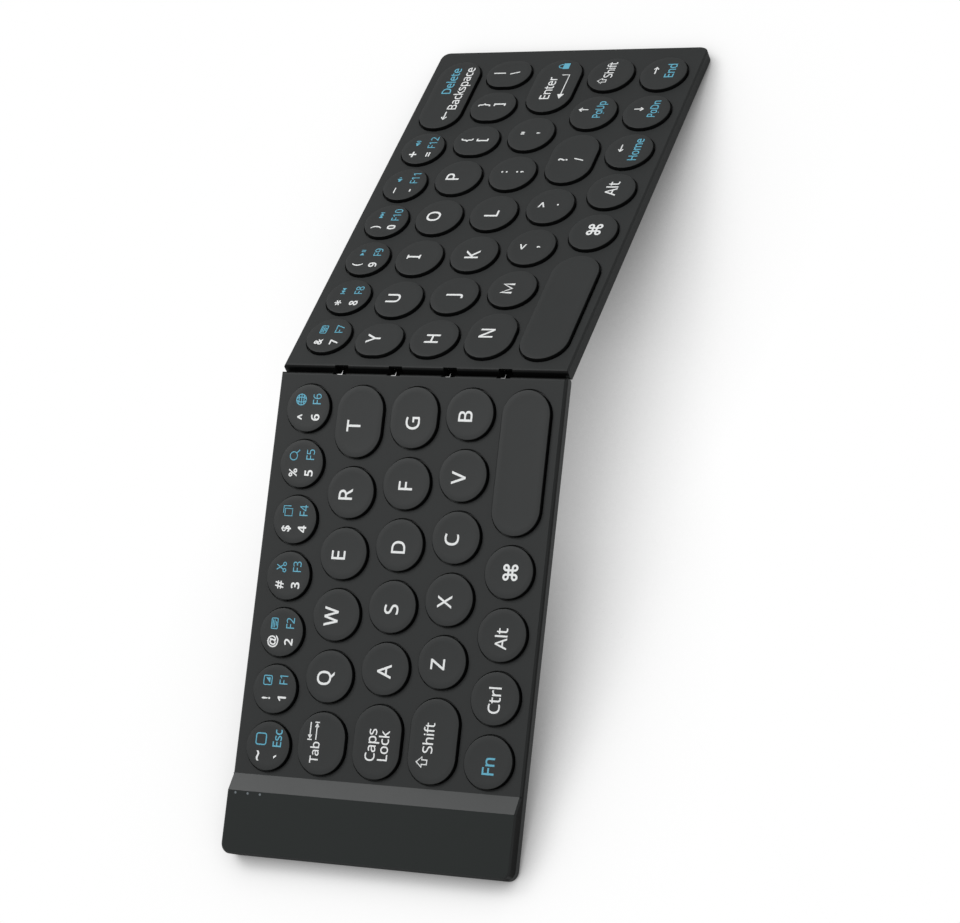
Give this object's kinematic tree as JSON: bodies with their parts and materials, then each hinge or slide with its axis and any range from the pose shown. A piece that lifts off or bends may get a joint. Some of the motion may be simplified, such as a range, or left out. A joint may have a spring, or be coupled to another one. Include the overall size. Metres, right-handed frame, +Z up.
{
  "type": "folding keyboard",
  "caption": "Thin two-part keyboard with round keys and a raised end block, on a hinge that folds keys-in and back to back, stood up like a tent.",
  "frame": {"origin": "middle of the bounding box, at the level of the surface that the two outer edges stand on", "axes": "+X from the half with the raised block to the other half, +Y from the front edge to the rear edge with the ports, +Z up"},
  "size_m": [0.2708, 0.091, 0.0437],
  "materials": {
    "case_plastic": "fine moulded texture, charcoal",
    "key_plastic": "satin, charcoal, printed legends",
    "hinge_black": "black, satin",
    "pin_steel": "drawn",
    "plate_steel": "rolled",
    "switch_film": "clear film with printed tracks",
    "dome_rubber": "soft, milky",
    "flex_film": "amber film",
    "foot_rubber": "black, matt",
    "screw_steel": "blackened",
    "circuit_board": "green lacquer",
    "battery_foil": "foil pouch",
    "socket_steel": "tinned",
    "lens_clear": "clear, polished",
    "switch_plastic": "black, ribbed"
  },
  "bodies": {
    "left_half": {"left_top_cover": "case_plastic", "left_bottom_tray": "case_plastic", "left_hinge_rail": "hinge_black", "left_hinge_pins": "pin_steel", "left_key_plate": "plate_steel", "left_switch_sheet": "switch_film", "left_domes": "dome_rubber", "left_flex_cable": "flex_film", "left_feet": "foot_rubber", "left_screws": "screw_steel", "controller_board": "circuit_board", "battery": "battery_foil", "charging_socket": "socket_steel", "indicator_lenses": "lens_clear"},
    "power_slider": {"power_switch_slider": "switch_plastic"},
    "hinge_link": {"hinge_links": "hinge_black", "hinge_flex_cable": "flex_film"},
    "right_half": {"right_top_cover": "case_plastic", "right_bottom_tray": "case_plastic", "right_hinge_rail": "hinge_black", "right_hinge_pins": "pin_steel", "right_key_plate": "plate_steel", "right_switch_sheet": "switch_film", "right_domes": "dome_rubber", "right_flex_cable": "flex_film", "right_feet": "foot_rubber", "right_screws": "screw_steel"},
    "key_z_cap": {"key_z": "key_plastic"},
    "key_x_cap": {"key_x": "key_plastic"},
    "key_c_cap": {"key_c": "key_plastic"},
    "key_v_cap": {"key_v": "key_plastic"},
    "key_b_cap": {"key_b": "key_plastic"},
    "key_a_cap": {"key_a": "key_plastic"},
    "key_s_cap": {"key_s": "key_plastic"},
    "key_d_cap": {"key_d": "key_plastic"},
    "key_f_cap": {"key_f": "key_plastic"},
    "key_g_cap": {"key_g": "key_plastic"},
    "key_q_cap": {"key_q": "key_plastic"},
    "key_w_cap": {"key_w": "key_plastic"},
    "key_e_cap": {"key_e": "key_plastic"},
    "key_r_cap": {"key_r": "key_plastic"},
    "key_t_cap": {"key_t": "key_plastic"},
    "key_space_left_cap": {"key_space_left": "key_plastic"},
    "keys_left_edge_caps": {"keys_left_edge": "key_plastic"},
    "keys_left_numbers_caps": {"keys_left_numbers": "key_plastic"},
    "key_n_cap": {"key_n": "key_plastic"},
    "key_m_cap": {"key_m": "key_plastic"},
    "key_h_cap": {"key_h": "key_plastic"},
    "key_j_cap": {"key_j": "key_plastic"},
    "key_k_cap": {"key_k": "key_plastic"},
    "key_l_cap": {"key_l": "key_plastic"},
    "key_y_cap": {"key_y": "key_plastic"},
    "key_u_cap": {"key_u": "key_plastic"},
    "key_i_cap": {"key_i": "key_plastic"},
    "key_o_cap": {"key_o": "key_plastic"},
    "key_p_cap": {"key_p": "key_plastic"},
    "key_space_right_cap": {"key_space_right": "key_plastic"},
    "key_enter_cap": {"key_enter": "key_plastic"},
    "keys_right_edge_caps": {"keys_right_edge": "key_plastic"},
    "keys_right_numbers_caps": {"keys_right_numbers": "key_plastic"}
  },
  "joints": [
    {"name": "fold_hinge", "type": "hinge", "parent": "left_half", "child": "hinge_link", "pos_m": [-0.00285, 0, 0.04128], "axis": [0, 1, 0], "range_deg": [-106.2, 73.4], "deforming": ["hinge_flex_cable"]},
    {"name": "fold_right", "type": "hinge", "parent": "hinge_link", "child": "right_half", "pos_m": [0.0035, 0, 0.04128], "axis": [0, 1, 0], "range_deg": [-106.2, 73.4], "deforming": ["hinge_flex_cable"]},
    {"name": "key_z_press", "type": "slide", "parent": "left_half", "child": "key_z_cap", "axis": [0.284, 0, -0.9588], "range_m": [0, 0.0012], "stiffness_N_per_m": 300, "springref_m": -0.0003},
    {"name": "key_x_press", "type": "slide", "parent": "left_half", "child": "key_x_cap", "axis": [0.284, 0, -0.9588], "range_m": [0, 0.0012], "stiffness_N_per_m": 300, "springref_m": -0.0003},
    {"name": "key_c_press", "type": "slide", "parent": "left_half", "child": "key_c_cap", "axis": [0.284, 0, -0.9588], "range_m": [0, 0.0012], "stiffness_N_per_m": 300, "springref_m": -0.0003},
    {"name": "key_v_press", "type": "slide", "parent": "left_half", "child": "key_v_cap", "axis": [0.284, 0, -0.9588], "range_m": [0, 0.0012], "stiffness_N_per_m": 300, "springref_m": -0.0003},
    {"name": "key_b_press", "type": "slide", "parent": "left_half", "child": "key_b_cap", "axis": [0.284, 0, -0.9588], "range_m": [0, 0.0012], "stiffness_N_per_m": 300, "springref_m": -0.0003},
    {"name": "key_a_press", "type": "slide", "parent": "left_half", "child": "key_a_cap", "axis": [0.284, 0, -0.9588], "range_m": [0, 0.0012], "stiffness_N_per_m": 300, "springref_m": -0.0003},
    {"name": "key_s_press", "type": "slide", "parent": "left_half", "child": "key_s_cap", "axis": [0.284, 0, -0.9588], "range_m": [0, 0.0012], "stiffness_N_per_m": 300, "springref_m": -0.0003},
    {"name": "key_d_press", "type": "slide", "parent": "left_half", "child": "key_d_cap", "axis": [0.284, 0, -0.9588], "range_m": [0, 0.0012], "stiffness_N_per_m": 300, "springref_m": -0.0003},
    {"name": "key_f_press", "type": "slide", "parent": "left_half", "child": "key_f_cap", "axis": [0.284, 0, -0.9588], "range_m": [0, 0.0012], "stiffness_N_per_m": 300, "springref_m": -0.0003},
    {"name": "key_g_press", "type": "slide", "parent": "left_half", "child": "key_g_cap", "axis": [0.284, 0, -0.9588], "range_m": [0, 0.0012], "stiffness_N_per_m": 300, "springref_m": -0.0003},
    {"name": "key_q_press", "type": "slide", "parent": "left_half", "child": "key_q_cap", "axis": [0.284, 0, -0.9588], "range_m": [0, 0.0012], "stiffness_N_per_m": 300, "springref_m": -0.0003},
    {"name": "key_w_press", "type": "slide", "parent": "left_half", "child": "key_w_cap", "axis": [0.284, 0, -0.9588], "range_m": [0, 0.0012], "stiffness_N_per_m": 300, "springref_m": -0.0003},
    {"name": "key_e_press", "type": "slide", "parent": "left_half", "child": "key_e_cap", "axis": [0.284, 0, -0.9588], "range_m": [0, 0.0012], "stiffness_N_per_m": 300, "springref_m": -0.0003},
    {"name": "key_r_press", "type": "slide", "parent": "left_half", "child": "key_r_cap", "axis": [0.284, 0, -0.9588], "range_m": [0, 0.0012], "stiffness_N_per_m": 300, "springref_m": -0.0003},
    {"name": "key_t_press", "type": "slide", "parent": "left_half", "child": "key_t_cap", "axis": [0.284, 0, -0.9588], "range_m": [0, 0.0012], "stiffness_N_per_m": 300, "springref_m": -0.0003},
    {"name": "key_space_left_press", "type": "slide", "parent": "left_half", "child": "key_space_left_cap", "axis": [0.284, 0, -0.9588], "range_m": [0, 0.0012], "stiffness_N_per_m": 300, "springref_m": -0.0003},
    {"name": "keys_left_edge_press", "type": "slide", "parent": "left_half", "child": "keys_left_edge_caps", "axis": [0.284, 0, -0.9588], "range_m": [0, 0.0012], "stiffness_N_per_m": 900, "springref_m": -0.0003, "deforming": ["left_domes"]},
    {"name": "keys_left_numbers_press", "type": "slide", "parent": "left_half", "child": "keys_left_numbers_caps", "axis": [0.284, 0, -0.9588], "range_m": [0, 0.0012], "stiffness_N_per_m": 900, "springref_m": -0.0003},
    {"name": "key_n_press", "type": "slide", "parent": "right_half", "child": "key_n_cap", "axis": [-0.284, 0, -0.9588], "range_m": [0, 0.0012], "stiffness_N_per_m": 300, "springref_m": -0.0003},
    {"name": "key_m_press", "type": "slide", "parent": "right_half", "child": "key_m_cap", "axis": [-0.284, 0, -0.9588], "range_m": [0, 0.0012], "stiffness_N_per_m": 300, "springref_m": -0.0003},
    {"name": "key_h_press", "type": "slide", "parent": "right_half", "child": "key_h_cap", "axis": [-0.284, 0, -0.9588], "range_m": [0, 0.0012], "stiffness_N_per_m": 300, "springref_m": -0.0003},
    {"name": "key_j_press", "type": "slide", "parent": "right_half", "child": "key_j_cap", "axis": [-0.284, 0, -0.9588], "range_m": [0, 0.0012], "stiffness_N_per_m": 300, "springref_m": -0.0003},
    {"name": "key_k_press", "type": "slide", "parent": "right_half", "child": "key_k_cap", "axis": [-0.284, 0, -0.9588], "range_m": [0, 0.0012], "stiffness_N_per_m": 300, "springref_m": -0.0003},
    {"name": "key_l_press", "type": "slide", "parent": "right_half", "child": "key_l_cap", "axis": [-0.284, 0, -0.9588], "range_m": [0, 0.0012], "stiffness_N_per_m": 300, "springref_m": -0.0003},
    {"name": "key_y_press", "type": "slide", "parent": "right_half", "child": "key_y_cap", "axis": [-0.284, 0, -0.9588], "range_m": [0, 0.0012], "stiffness_N_per_m": 300, "springref_m": -0.0003},
    {"name": "key_u_press", "type": "slide", "parent": "right_half", "child": "key_u_cap", "axis": [-0.284, 0, -0.9588], "range_m": [0, 0.0012], "stiffness_N_per_m": 300, "springref_m": -0.0003},
    {"name": "key_i_press", "type": "slide", "parent": "right_half", "child": "key_i_cap", "axis": [-0.284, 0, -0.9588], "range_m": [0, 0.0012], "stiffness_N_per_m": 300, "springref_m": -0.0003},
    {"name": "key_o_press", "type": "slide", "parent": "right_half", "child": "key_o_cap", "axis": [-0.284, 0, -0.9588], "range_m": [0, 0.0012], "stiffness_N_per_m": 300, "springref_m": -0.0003},
    {"name": "key_p_press", "type": "slide", "parent": "right_half", "child": "key_p_cap", "axis": [-0.284, 0, -0.9588], "range_m": [0, 0.0012], "stiffness_N_per_m": 300, "springref_m": -0.0003},
    {"name": "key_space_right_press", "type": "slide", "parent": "right_half", "child": "key_space_right_cap", "axis": [-0.284, 0, -0.9588], "range_m": [0, 0.0012], "stiffness_N_per_m": 300, "springref_m": -0.0003},
    {"name": "key_enter_press", "type": "slide", "parent": "right_half", "child": "key_enter_cap", "axis": [-0.284, 0, -0.9588], "range_m": [0, 0.0012], "stiffness_N_per_m": 300, "springref_m": -0.0003},
    {"name": "keys_right_edge_press", "type": "slide", "parent": "right_half", "child": "keys_right_edge_caps", "axis": [-0.284, 0, -0.9588], "range_m": [0, 0.0012], "stiffness_N_per_m": 900, "springref_m": -0.0003, "deforming": ["right_domes"]},
    {"name": "keys_right_numbers_press", "type": "slide", "parent": "right_half", "child": "keys_right_numbers_caps", "axis": [-0.284, 0, -0.9588], "range_m": [0, 0.0012], "stiffness_N_per_m": 900, "springref_m": -0.0003},
    {"name": "power_slide", "type": "slide", "parent": "left_half", "child": "power_slider", "axis": [0.9588, 0, 0.284], "range_m": [0, 0.0015]}
  ]
}
